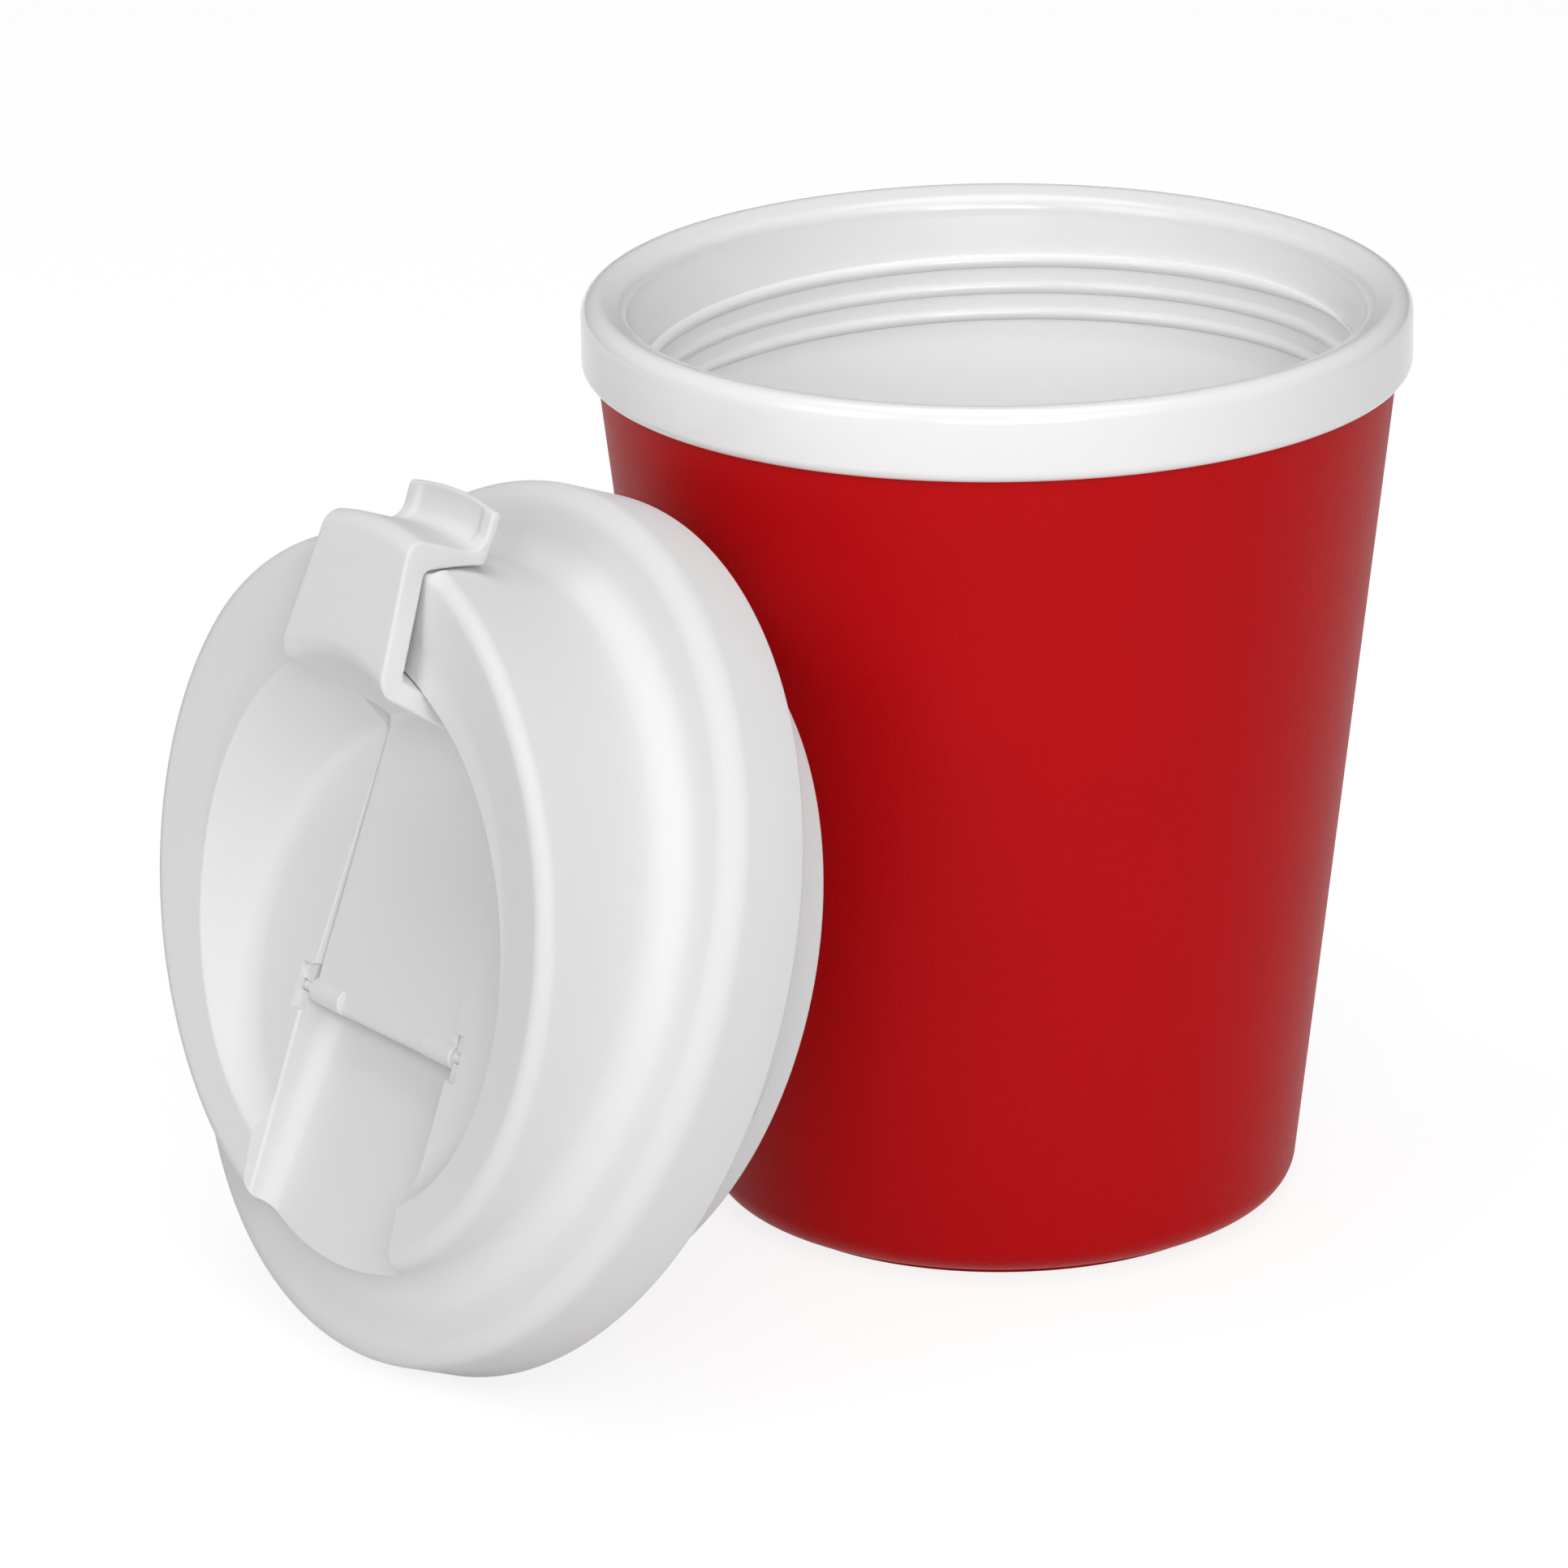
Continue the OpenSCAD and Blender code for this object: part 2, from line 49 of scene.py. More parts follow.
def arc(centre, radius, start, end, steps=10):
    """Points (across, up) on a rounding, from one angle to another in degrees."""
    turns = np.radians(np.linspace(start, end, steps + 1))
    return [(centre[0] + radius * math.cos(t), centre[1] + radius * math.sin(t)) for t in turns]


def skinned(name, rings, crease=38, ends=()):
    """A skin over rings of points in mm, closed by a pole, a ring of one point, at each
    end, or by faces given as places in the end rings."""
    points, faces, first = [], [], []
    for ring in rings:
        first.append(len(points))
        points.extend(tuple(p) for p in ring)
    for k in range(len(rings) - 1):
        low, high = len(rings[k]), len(rings[k + 1])
        for i in range(max(low, high)):
            j = (i + 1) % max(low, high)
            corners = [first[k] + i % low, first[k] + j % low]
            corners += [first[k + 1] + j % high, first[k + 1] + i % high]
            corners = list(dict.fromkeys(corners))
            if len(corners) > 2:
                faces.append(corners)
    for start in (first[0], first[-1]):
        faces.extend([start + place for place in end] for end in ends)
    mesh = bpy.data.meshes.new(name)
    mesh.from_pydata([(x * 0.001, y * 0.001, z * 0.001) for x, y, z in points], [], faces)
    piece = bpy.data.objects.new(name, mesh)
    bpy.context.scene.collection.objects.link(piece)
    tidied(piece, crease)
    return piece


def tidied(piece, crease=38):
    """Merges doubles, turns the faces outwards and shades all but the creases smooth."""
    form = bmesh.new()
    form.from_mesh(piece.data)
    bmesh.ops.remove_doubles(form, verts=form.verts, dist=2e-6)
    bmesh.ops.dissolve_degenerate(form, edges=form.edges, dist=1e-7)
    bmesh.ops.recalc_face_normals(form, faces=form.faces)
    form.to_mesh(piece.data)
    form.free()
    piece.data.shade_smooth()
    piece.data.set_sharp_from_angle(angle=math.radians(crease))


def turned(name, outline, steps=288, crease=38):
    """An outline of (radius, height) in mm, turned about the upright axis."""
    rings = []
    for radius, height in outline:
        if radius < 1e-6:
            rings.append([(0, 0, height)])
        else:
            turns = np.linspace(0, 2 * math.pi, steps, endpoint=False)
            rings.append([(radius * math.cos(t), radius * math.sin(t), height) for t in turns])
    return skinned(name, rings, crease)


class Amount:
    """A value that varies over a surface, for plain arithmetic in a finish."""

    def __init__(self, finish, socket):
        self.finish = finish
        self.socket = socket

    def sum(self, operation, first, second):
        plain = [x.socket if isinstance(x, Amount) else x for x in (first, second)]
        sockets = dict(enumerate(plain))
        made = self.finish.node("ShaderNodeMath", {"operation": operation}, sockets)
        return Amount(self.finish, made.outputs[0])

    def __add__(self, other):
        return self.sum("ADD", self, other)

    def __radd__(self, other):
        return self.sum("ADD", other, self)

    def __sub__(self, other):
        return self.sum("SUBTRACT", self, other)

    def __rsub__(self, other):
        return self.sum("SUBTRACT", other, self)

    def __mul__(self, other):
        return self.sum("MULTIPLY", self, other)

    def __rmul__(self, other):
        return self.sum("MULTIPLY", other, self)


class Finish:
    """The finish of one kind of moulding: a principled shader and what varies it."""

    def __init__(self, name, constants):
        self.material = bpy.data.materials.new(name)
        self.material.use_nodes = True
        self.tree = self.material.node_tree
        self.shader = self.tree.nodes["Principled BSDF"]
        for socket, value in constants.items():
            self.shader.inputs[socket].default_value = value

    def node(self, kind, settings=None, sockets=None):
        made = self.tree.nodes.new(kind)
        for key, value in (settings or {}).items():
            setattr(made, key, value)
        for key, value in (sockets or {}).items():
            if isinstance(value, Amount):
                value = value.socket
            if isinstance(value, bpy.types.NodeSocket):
                self.tree.links.new(value, made.inputs[key])
            else:
                made.inputs[key].default_value = value
        return made

    def noise(self, scale, detail=2.0, roughness=0.5):
        """Soft noise over the object, about 0 to 1."""
        place = self.node("ShaderNodeTexCoord").outputs["Object"]
        sockets = {"Vector": place, "Scale": scale, "Detail": detail, "Roughness": roughness}
        made = self.node("ShaderNodeTexNoise", {"noise_dimensions": "3D"}, sockets)
        return Amount(self, made.outputs["Fac"])

    def blend(self, amount, first, second):
        """A colour between two, by an amount from 0 to 1."""
        settings = {"data_type": "RGBA", "blend_type": "MIX", "clamp_factor": True}
        made = self.node("ShaderNodeMix", settings, {0: amount, 6: first, 7: second})
        return made.outputs[2]

    def feed(self, socket, value):
        value = value.socket if isinstance(value, Amount) else value
        self.tree.links.new(value, self.shader.inputs[socket])

    def relief(self, height, depth):
        """Fine relief of that depth in metres."""
        sockets = {"Height": height, "Distance": depth, "Strength": 1.0}
        made = self.node("ShaderNodeBump", sockets=sockets)
        self.feed("Normal", made.outputs["Normal"])


cup_height = 105.2
rim_radius = 46.0
band_height = 8.2
shell_top = cup_height - band_height
shell_top_radius = rim_radius - 1.67
shell_base_radius = 32.82
side_slope = (shell_top_radius - shell_base_radius) / shell_top
side_angle = math.degrees(math.atan(side_slope))


def shell_inset(height, depth):
    """Radius at a height, that far inside the shell's outer face."""
    return shell_base_radius + side_slope * height - depth / math.cos(math.radians(side_angle))


shell_wall = 1.6
base_round = 4.2
foot_height = 0.9
foot_hollow = 1.2
base_centre = (shell_inset(foot_height + base_round, base_round), foot_height + base_round)
foot_radius = base_centre[0] - 0.5
foot_inner = foot_radius - 2.4
foot_edge = 0.25
foot_inner_edge = 0.35
hollow_edge = 0.4
tongue_inner = shell_inset(shell_top, shell_wall)
tongue_outer = tongue_inner + 0.75
tongue_top = shell_top + 3
shell = turned(
    "cup_shell",
    [(0, foot_hollow), (foot_inner - hollow_edge, foot_hollow)]
    + arc((foot_inner - hollow_edge, foot_hollow - hollow_edge), hollow_edge, 90, 0, 4)
    + arc((foot_inner + foot_inner_edge, foot_inner_edge), foot_inner_edge, 180, 270, 4)
    + arc((foot_radius - foot_edge, foot_edge), foot_edge, 270, 360, 4)
    + [(foot_radius, foot_height - 0.15), (foot_radius + 0.12, foot_height)]
    + arc(base_centre, base_round, -90, -side_angle, 16)
    + [(shell_inset(z, 0), z) for z in np.linspace(12, shell_top - 1, 12)]
    + [(shell_top_radius, shell_top), (tongue_outer, shell_top)]
    + [(tongue_outer, tongue_top), (tongue_inner, tongue_top), (tongue_inner, shell_top)]
    + arc(base_centre, base_round - shell_wall, -side_angle, -90, 10)
    + [(0, foot_height + shell_wall)],
)

red = Finish("grained red", {"Specular IOR Level": 0.09})
mottle = red.noise(60, 3.0)
red.feed("Base Color", red.blend(mottle, (0.51, 0.0032, 0.0050, 1), (0.55, 0.0040, 0.0060, 1)))
grain = red.noise(2600, 3.0, 0.6)
red.feed("Roughness", 0.40 + 0.10 * red.noise(900, 2.0))
red.relief(grain, 0.00005)
shell.data.materials.append(red.material)
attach(shell, "cup")
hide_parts("outer_shell")

# Inner liner with the rim. One glossy white moulding: the tapered inner cup, the
# threaded neck and the rolled rim band that stands out past the shell. It is welded to
# the shell under the rim, with an air gap between the two walls.
liner_wall = 1.6
air_gap = 1.0
liner_depth = shell_wall + air_gap + liner_wall
floor_height = 8.0
floor_round = 6.0
mouth_radius = 40.8
mouth_height = cup_height - 5.4
neck_radius = 39.35
neck_top = cup_height - 7.0
neck_bottom = neck_top - 9.2
blend_height = neck_bottom - 3.0
rim_inner_round = 2.0
rim_outer_round = 1.9
rim_turn = 110
inner_round_height = cup_height - rim_outer_round - 0.58
inner_round_centre = (mouth_radius + rim_inner_round, inner_round_height)
outer_round_centre = (rim_radius - rim_outer_round, cup_height - rim_outer_round)
band_round = 1.3
floor_centre = (
    shell_inset(floor_height + floor_round, liner_depth + floor_round),
    floor_height + floor_round,
)
lip_ceiling = tongue_top + 0.4
mouth_outer = mouth_radius + liner_wall
neck_outer = neck_radius + liner_wall
tongue_seat = tongue_inner + 0.8
liner = turned(
    "cup_liner",
    [(0, floor_height)]
    + [(radius, floor_height) for radius in (8, 16)]
    + arc(floor_centre, floor_round, -90, -side_angle, 18)
    + [(shell_inset(z, liner_depth), z) for z in np.linspace(22, blend_height, 10)]
    + [(neck_radius - 0.25, neck_bottom - 1.2), (neck_radius, neck_bottom)]
    + [(neck_radius, neck_top - 0.9), (neck_radius + 0.08, neck_top - 0.2)]
    + [(mouth_radius - 0.1, inner_round_height - 0.5)]
    + arc(inner_round_centre, rim_inner_round, 177, rim_turn, 12)
    + arc(outer_round_centre, rim_outer_round, rim_turn, 0, 16)
    + [(rim_radius, shell_top + 4)]
    + arc((rim_radius - band_round, shell_top + band_round), band_round, 0, -84, 9)
    + [(shell_top_radius, shell_top)]
    + [(tongue_seat, shell_top), (tongue_seat, lip_ceiling)]
    + [(mouth_outer, lip_ceiling), (mouth_outer, mouth_height - liner_wall / 2)]
    + [(neck_outer, neck_top - liner_wall / 2), (neck_outer, neck_bottom)]
    + [(shell_inset(blend_height, shell_wall + air_gap), blend_height)]
    + arc(floor_centre, floor_round + liner_wall, -side_angle, -90, 10)
    + [(0, floor_height - liner_wall)],
    crease=30,
)

gloss = Finish("glossy white", {"Specular IOR Level": 0.5})
cloud = gloss.noise(25, 2.0)
gloss.feed("Base Color", gloss.blend(cloud, (0.91, 0.91, 0.91, 1), (0.93, 0.93, 0.925, 1)))
gloss.feed("Roughness", 0.13 + 0.05 * gloss.noise(300, 2.0))
gloss.relief(gloss.noise(45, 1.0), 0.00004)
liner.data.materials.append(gloss.material)
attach(liner, "cup")
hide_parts("inner_liner")

# Thread in the cup's neck. Two rounded ridges wind up inside the neck, half a turn
# apart, and run out into the wall at both ends. They are moulded in one with the liner.


def thread_tree():
    """Ridges that wind round the upright axis and fade out at their ends."""
    tree = bpy.data.node_groups.new("Wound thread", "GeometryNodeTree")
    face = tree.interface
    sizes = (("Starts", "Int"), ("Turns", "Float"), ("Lead", "Float"), ("Wall radius", "Float"))
    sizes += (("Ridge radius", "Float"), ("Foot height", "Float"), ("Material", "Material"))
    for name, kind in sizes:
        face.new_socket(name, in_out="INPUT", socket_type="NodeSocket" + kind)
    face.new_socket("Thread", in_out="OUTPUT", socket_type="NodeSocketGeometry")

    def add(kind, settings=None, sockets=None):
        made = tree.nodes.new(kind)
        for key, value in (settings or {}).items():
            setattr(made, key, value)
        for key, value in (sockets or {}).items():
            if isinstance(value, bpy.types.NodeSocket):
                tree.links.new(value, made.inputs[key])
            else:
                made.inputs[key].default_value = value
        return made

    def worked(operation, first, second):
        return add("ShaderNodeMath", {"operation": operation}, {0: first, 1: second}).outputs[0]

    given = add("NodeGroupInput").outputs
    rise = worked("MULTIPLY", given["Turns"], given["Lead"])
    spiral = {"Resolution": 96, "Rotations": given["Turns"], "Height": rise}
    spiral |= {"Start Radius": given["Wall radius"], "End Radius": given["Wall radius"]}
    path = add("GeometryNodeCurveSpiral", sockets=spiral).outputs[0]
    path = add("GeometryNodeSetCurveNormal", {"mode": "Z_UP"}, {"Curve": path}).outputs[0]
    along = add("GeometryNodeSplineParameter").outputs["Factor"]
    left = worked("SUBTRACT", 1.0, along)
    nearest = worked("MINIMUM", along, left)
    fade = {"Value": nearest, "From Min": 0.0, "From Max": 0.09, "To Min": 0.05, "To Max": 1.0}
    fade = add("ShaderNodeMapRange", {"interpolation_type": "SMOOTHSTEP"}, fade).outputs[0]
    round_bar = {"Resolution": 14, "Radius": given["Ridge radius"]}
    section = add("GeometryNodeCurvePrimitiveCircle", sockets=round_bar).outputs[0]
    swept = {"Curve": path, "Profile Curve": section, "Scale": fade, "Fill Caps": True}
    ridge = add("GeometryNodeCurveToMesh", sockets=swept).outputs[0]
    share = worked("DIVIDE", math.tau, given["Starts"])
    angle = worked("MULTIPLY", add("GeometryNodeInputIndex").outputs[0], share)
    spin = add("ShaderNodeCombineXYZ", sockets={"Z": angle}).outputs[0]
    points = add("GeometryNodePoints", sockets={"Count": given["Starts"]}).outputs[0]
    repeat = {"Points": points, "Instance": ridge, "Rotation": spin}
    ridges = add("GeometryNodeInstanceOnPoints", sockets=repeat).outputs[0]
    foot = add("ShaderNodeCombineXYZ", sockets={"Z": given["Foot height"]}).outputs[0]
    moved = {"Geometry": ridges, "Translation": foot}
    ridges = add("GeometryNodeTransform", sockets=moved).outputs[0]
    ridges = add("GeometryNodeRealizeInstances", sockets={"Geometry": ridges}).outputs[0]
    finished = {"Geometry": ridges, "Material": given["Material"]}
    ridges = add("GeometryNodeSetMaterial", sockets=finished).outputs[0]
    add("NodeGroupOutput", sockets={"Thread": ridges})
    return tree


def wound(name, tree, sizes):
    """The tree's thread, as a plain mesh of its own."""
    seed = bpy.data.objects.new(name + "_seed", bpy.data.meshes.new(name + "_seed"))
    bpy.context.scene.collection.objects.link(seed)
    seat = seed.modifiers.new("thread", "NODES")
    seat.node_group = tree
    for socket in tree.interface.items_tree:
        if socket.in_out == "INPUT" and socket.name in sizes:
            seat[socket.identifier] = sizes[socket.name]
    graph = bpy.context.evaluated_depsgraph_get()
    mesh = bpy.data.meshes.new_from_object(seed.evaluated_get(graph))
    mesh.name = name
    bpy.data.objects.remove(seed)
    piece = bpy.data.objects.new(name, mesh)
    bpy.context.scene.collection.objects.link(piece)
    tidied(piece, 50)
    return piece


winding = thread_tree()
thread_lead = 0.0062
neck_thread = wound(
    "neck_thread",
    winding,
    {
        "Starts": 2,
        "Turns": 1.5,
        "Lead": thread_lead,
        "Wall radius": (neck_radius + 0.1) * 0.001,
        "Ridge radius": 0.0008,
        "Foot height": 0.08965,
        "Material": gloss.material,
    },
)
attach(neck_thread, "cup")

# Lid body. One satin white moulding: a skirt that covers the rim band, a round
# shoulder, and a collar whose slanted top holds a bowl-shaped recess with the slot for
# the closure. Under it a plug carries the seal and the thread. The lid is off and leans
# on the cup, standing on its skirt's edge.
skirt_inner = rim_radius + 0.74
skirt_radius = skirt_inner + 1.8
lid_wall = 1.8
ceiling = band_height
shoulder = ceiling + lid_wall
shoulder_round = 2.8
shoulder_start = skirt_radius - shoulder_round
plug_radius = 37.9
plug_inner = plug_radius - 1.8
plug_depth = 11.2
plug_edge = 0.5
skirt_inner_edge = 0.3
skirt_edge = 0.45
groove_foot = 3.0
groove_height = 3.0
groove_depth = 0.5
collar_radius = 39.1
collar_fillet = 3.8
collar_foot = shoulder + collar_fillet
crest_height = 24.6
crest_rise = math.tan(math.radians(12.3))
crest_dip = 0.9
crest_round = 1.8
pad_height = 31.3
recess_radius = 30.3
recess_off = 3.5
recess_slope = 1 / math.tan(math.radians(24))
recess_floor = 16.0
recess_floor_radius = 24.5
recess_floor_off = 5.0
recess_floor_round = 5.0
hinge = (-12.4, 14.4)
knuckle_radius = 1.5
trunnion_radius = 0.8
trunnion_end = 16.45
trunnion_clear = 0.06
strip_half = 14.25
strip_foot_half = 12.3
strip_thick = 2.2
strip_under = 0.3
strip_end = hinge[0] - knuckle_radius
strip_rise = math.tan(math.radians(1.8))
riser_radius = 25.5
riser_lean = math.tan(math.radians(10))
riser_thick = 2.1 / math.cos(math.radians(10))
plate_height = 34.3
slot_gap = 0.2
slot_end_gap = 0.4
slot_edge = 0.1
channel_half = 14.6
channel_round = 2.5
channel_exit = 13.4
channel_start = -9.6
channel_fall = (channel_exit - 10.6) / (collar_radius + channel_start)
swing_radius = 52.17
swing_half = 9.5
drink_off = 32.6
beyond = 60


def strip_top(u):
    return 15.2 + strip_rise * (u - strip_end)


def riser_front(z):
    return riser_radius - (plate_height - z) * riser_lean


def lower(a, b, soft):
    """The lower of two heights, with a soft passage between them."""
    share = np.clip(0.5 + 0.5 * (b - a) / soft, 0, 1)
    return b * (1 - share) + a * share - soft * share * (1 - share)


def upper(a, b, soft):
    return -lower(-a, -b, soft)


def crest_at(u):
    """Height of the slanted top, levelled off on the drinking side."""
    return lower(crest_height + crest_rise * u, np.full_like(u, pad_height), 1.6)


def bowl_at(v, u):
    """Height of the recess: its slanted conical side, curved foot and level floor."""
    side = np.hypot(v, u + recess_off) - recess_radius
    side = crest_height + crest_rise * u + side * recess_slope
    out = np.maximum(np.hypot(v, u + recess_floor_off) - recess_floor_radius, 0)
    turn = np.minimum(out, 3.83)
    foot = recess_floor + recess_floor_round - np.sqrt(recess_floor_round**2 - turn**2)
    return upper(side, foot + 1.2 * np.maximum(out - 3.83, 0), 0.8)


def lid_top(v, u):
    """Height of the lid's top inside the collar's rounded edge."""
    inward = np.hypot(v, u) - recess_radius
    fall = -crest_dip + inward * crest_dip / (collar_radius - crest_round - recess_radius)
    top = crest_at(u) + np.maximum(fall, -crest_dip)
    return lower(top, bowl_at(v, u), 0.55)


def lid_roof(v, u):
    """Height of the hollow under the lid, one wall below everything above it."""
    roof = np.minimum(crest_at(u) - crest_dip, bowl_at(v, u)) - lid_wall - 0.1
    beside = np.maximum(np.abs(v) - channel_half - 2.0, 0)
    channel = channel_exit - (u + collar_radius) * channel_fall - lid_wall
    channel = np.where(u < channel_start + 2, channel + 3 * beside, 99)
    beside = np.maximum(np.abs(v) - strip_half - 4.4, 0)
    beside += np.maximum(np.hypot(v, u) * np.sign(u) - 26.4, 0) + np.maximum(-16.4 - u, 0)
    slot = strip_top(u) - strip_thick - strip_under - lid_wall + 3 * beside
    return np.minimum(roof, np.minimum(channel, slot))


lid_turns = np.linspace(0, 2 * math.pi, 384, endpoint=False)
lid_rings = []


def lid_ring(radius, height, off=0.0):
    """A ring of the lid; its height is a number or a function of (across, along)."""
    if radius < 1e-6:
        v, u = np.zeros(1), np.array([-off])
    else:
        v, u = radius * np.cos(lid_turns), radius * np.sin(lid_turns) - off
    z = height(v, u) if callable(height) else np.full_like(v, height)
    # the collar is cut back where the thumb leg swings past it
    reach = np.hypot(u - hinge[0], z - hinge[1])
    side = np.clip((np.abs(v) - swing_half + 0.5) / 0.9, 0, 1)
    allowed = swing_radius + 4 * side * side * (3 - 2 * side)
    swung = (u > 0) & (z > collar_foot) & (reach > allowed)
    pull = np.where(swung, allowed / np.maximum(reach, 1e-6), 1)
    u, z = hinge[0] + (u - hinge[0]) * pull, hinge[1] + (z - hinge[1]) * pull
    lid_rings.append(np.stack([v, u, z], axis=1))


for radius in [0] + list(np.linspace(1.5, plug_inner - 0.6, 34)):
    lid_ring(radius, lid_roof)
for radius, height in (
    [(plug_inner, -2.0), (plug_inner, -plug_depth + 0.3), (plug_inner + 0.3, -plug_depth)]
    + arc((plug_radius - plug_edge, -plug_depth + plug_edge), plug_edge, 270, 360, 4)
    + [(plug_radius, groove_foot), (plug_radius - groove_depth, groove_foot)]
    + [(plug_radius - groove_depth, groove_foot + groove_height)]
    + [(plug_radius, groove_foot + groove_height), (plug_radius, ceiling - 0.3)]
    + [(plug_radius + 0.3, ceiling), (skirt_inner - 0.4, ceiling), (skirt_inner, ceiling - 0.4)]
    + arc((skirt_inner + skirt_inner_edge, skirt_inner_edge), skirt_inner_edge, 180, 270, 3)
    + arc((skirt_radius - skirt_edge, skirt_edge), skirt_edge, 270, 360, 5)
    + [(skirt_radius, 3.5), (skirt_radius, shoulder - shoulder_round)]
    + arc((shoulder_start, shoulder - shoulder_round), shoulder_round, 7, 90, 14)
    + [(shoulder_start - 1.4, shoulder)]
    + arc((collar_radius + collar_fillet, collar_foot), collar_fillet, 270, 180, 16)
):
    lid_ring(radius, height)
for share in np.linspace(0, 1, 9)[1:]:
    lid_ring(
        collar_radius,
        lambda v, u: collar_foot + share * (crest_at(u) - crest_round - collar_foot),
    )
for turn in np.radians(np.linspace(0, 90, 15)[1:]):
    lid_ring(
        collar_radius - crest_round * (1 - math.cos(turn)),
        lambda v, u: crest_at(u) - crest_round * (1 - math.sin(turn)),
    )
crest_inner = collar_radius - crest_round
for share in np.linspace(0, 1, 18)[1:]:
    radius = crest_inner + share * (recess_radius + 0.3 - crest_inner)
    lid_ring(radius, lid_top, share * recess_off)
for radius in np.linspace(recess_radius + 0.2, recess_radius - 1.4, 22):
    lid_ring(radius, lid_top, recess_off)
for share in np.linspace(0, 1, 36)[1:]:
    radius = (recess_radius - 1.4) * (1 - share) + (recess_floor_radius - 0.5) * share
    lid_ring(radius, lid_top, recess_off * (1 - share) + recess_floor_off * share)
for radius in [21, 18, 15, 12, 9, 6, 3, 0]:
    lid_ring(radius, recess_floor, recess_floor_off)
lid = skinned("lid_body", lid_rings, 35)


def prism(name, lower_outline, upper_outline, *middles):
    """A closed solid over outlines of (across, along, height) in mm with equal counts."""
    rings = [np.array(ring, float) for ring in (lower_outline, *middles, upper_outline)]
    rings = [rings[0].mean(axis=0, keepdims=True)] + rings + [rings[-1].mean(axis=0, keepdims=True)]
    return skinned(name, rings)


def bar(name, radius, start, end, soft=0.2):
    """A round bar on the hinge's axis, in mm, with a soft edge at both ends."""
    turns = np.linspace(0, 2 * math.pi, 48, endpoint=False)
    ways = (start, start + soft, end - soft, end)
    rings = [[(start, *hinge)]]
    for v, r in zip(ways, (radius - soft, radius, radius, radius - soft)):
        rings.append([(v, hinge[0] + r * math.cos(t), hinge[1] + r * math.sin(t)) for t in turns])
    return skinned(name, rings + [[(end, *hinge)]])


def joined(piece, tool, operation):
    """Cuts the tool out of the piece, or welds it on, and removes the tool."""
    step = piece.modifiers.new("step", "BOOLEAN")
    step.object = tool
    step.operation = operation
    step.solver = "MANIFOLD"
    graph = bpy.context.evaluated_depsgraph_get()
    mesh = bpy.data.meshes.new_from_object(piece.evaluated_get(graph))
    piece.modifiers.remove(step)
    old = piece.data
    mesh.name = old.name
    piece.data = mesh
    bpy.data.meshes.remove(old)
    bpy.data.objects.remove(tool)


# the channel behind the hinge, with rounded lower corners and a soft upper edge
channel_ends = []
for u in (channel_start, -beyond):
    floor = channel_exit - (u + collar_radius) * channel_fall
    section = [(channel_half + 0.3, floor + 24), (channel_half + 0.3, recess_floor + 0.02)]
    section += [(channel_half, recess_floor - 0.3)]
    section += arc((channel_half - channel_round, floor + channel_round), channel_round, 0, -90, 8)
    outline = section + [(-v, z) for v, z in section[::-1]]
    channel_ends.append([(v, u, z) for v, z in outline])
joined(lid, prism("channel", *channel_ends), "DIFFERENCE")

# the slot that the closure's strip and riser lie in
slot_turns = np.radians(np.linspace(62.5, 180 - 62.5, 33))
slot_foot = math.sqrt(riser_front(15) ** 2 - strip_foot_half**2)
slot_levels = [(None, 0), (recess_floor - slot_edge, 0)]
slot_levels += [(recess_floor + 0.02, slot_edge), (45, slot_edge)]
slot_rings = []
for height, grow in slot_levels:
    gap = slot_gap + grow
    start = strip_end - slot_end_gap - grow
    back = riser_front(14.0 if height is None else height) + riser_thick + slot_gap
    outline = [(-strip_half - gap, start), (strip_half + gap, start)]
    outline += [(strip_foot_half + gap, slot_foot)]
    outline += [(back * math.cos(a), back * math.sin(a)) for a in slot_turns]
    outline += [(-strip_foot_half - gap, slot_foot)]
    ring = []
    for v, u in outline:
        floor = strip_top(u) - strip_thick - strip_under
        ring.append((v, u, floor if height is None else height))
    slot_rings.append(ring)
joined(lid, prism("slot", slot_rings[0], slot_rings[3], *slot_rings[1:3]), "DIFFERENCE")

# the sockets of the hinge, each with its snap-in slot and shallow pocket
for side in (-1, 1):
    inner, outer = side * 13.8, side * (trunnion_end + trunnion_clear)
    ends = sorted((inner, outer))
    joined(lid, bar("socket", trunnion_radius + trunnion_clear, *ends), "DIFFERENCE")
    for half, floor in ((0.65, hinge[1]), (2.6, recess_floor - 0.7)):
        corners = [(inner, -half), (outer, -half), (outer, half), (inner, half)]
        rings = [[(v, hinge[0] + u, z) for v, u in corners] for z in (floor, recess_floor + 0.8)]
        joined(lid, prism("pocket", *rings), "DIFFERENCE")


def round_ended(length, width, off, foot, top, soft=0.0):
    """A long round-ended peg across the lid, drawn in a little at its foot."""
    rings = []
    for height, less in ((foot, soft), (foot + max(soft, 0.01), 0), (top, 0)):
        r = width / 2 - less
        outline = []
        for side in (-1, 1):
            middle = side * (length - width) / 2
            for t in np.radians(np.linspace(-90, 90, 17)):
                across, along = side * r * math.cos(t), side * r * math.sin(t)
                outline.append((middle + across, off + along, height))
        rings.append(outline)
    return prism("peg", rings[0], rings[2], rings[1])


# the drinking opening and the vent, right through the lid
joined(lid, round_ended(13, 5.4, drink_off, 2, beyond), "DIFFERENCE")
joined(lid, round_ended(2.02, 2, 0, 2, beyond), "DIFFERENCE")
tidied(lid, 32)

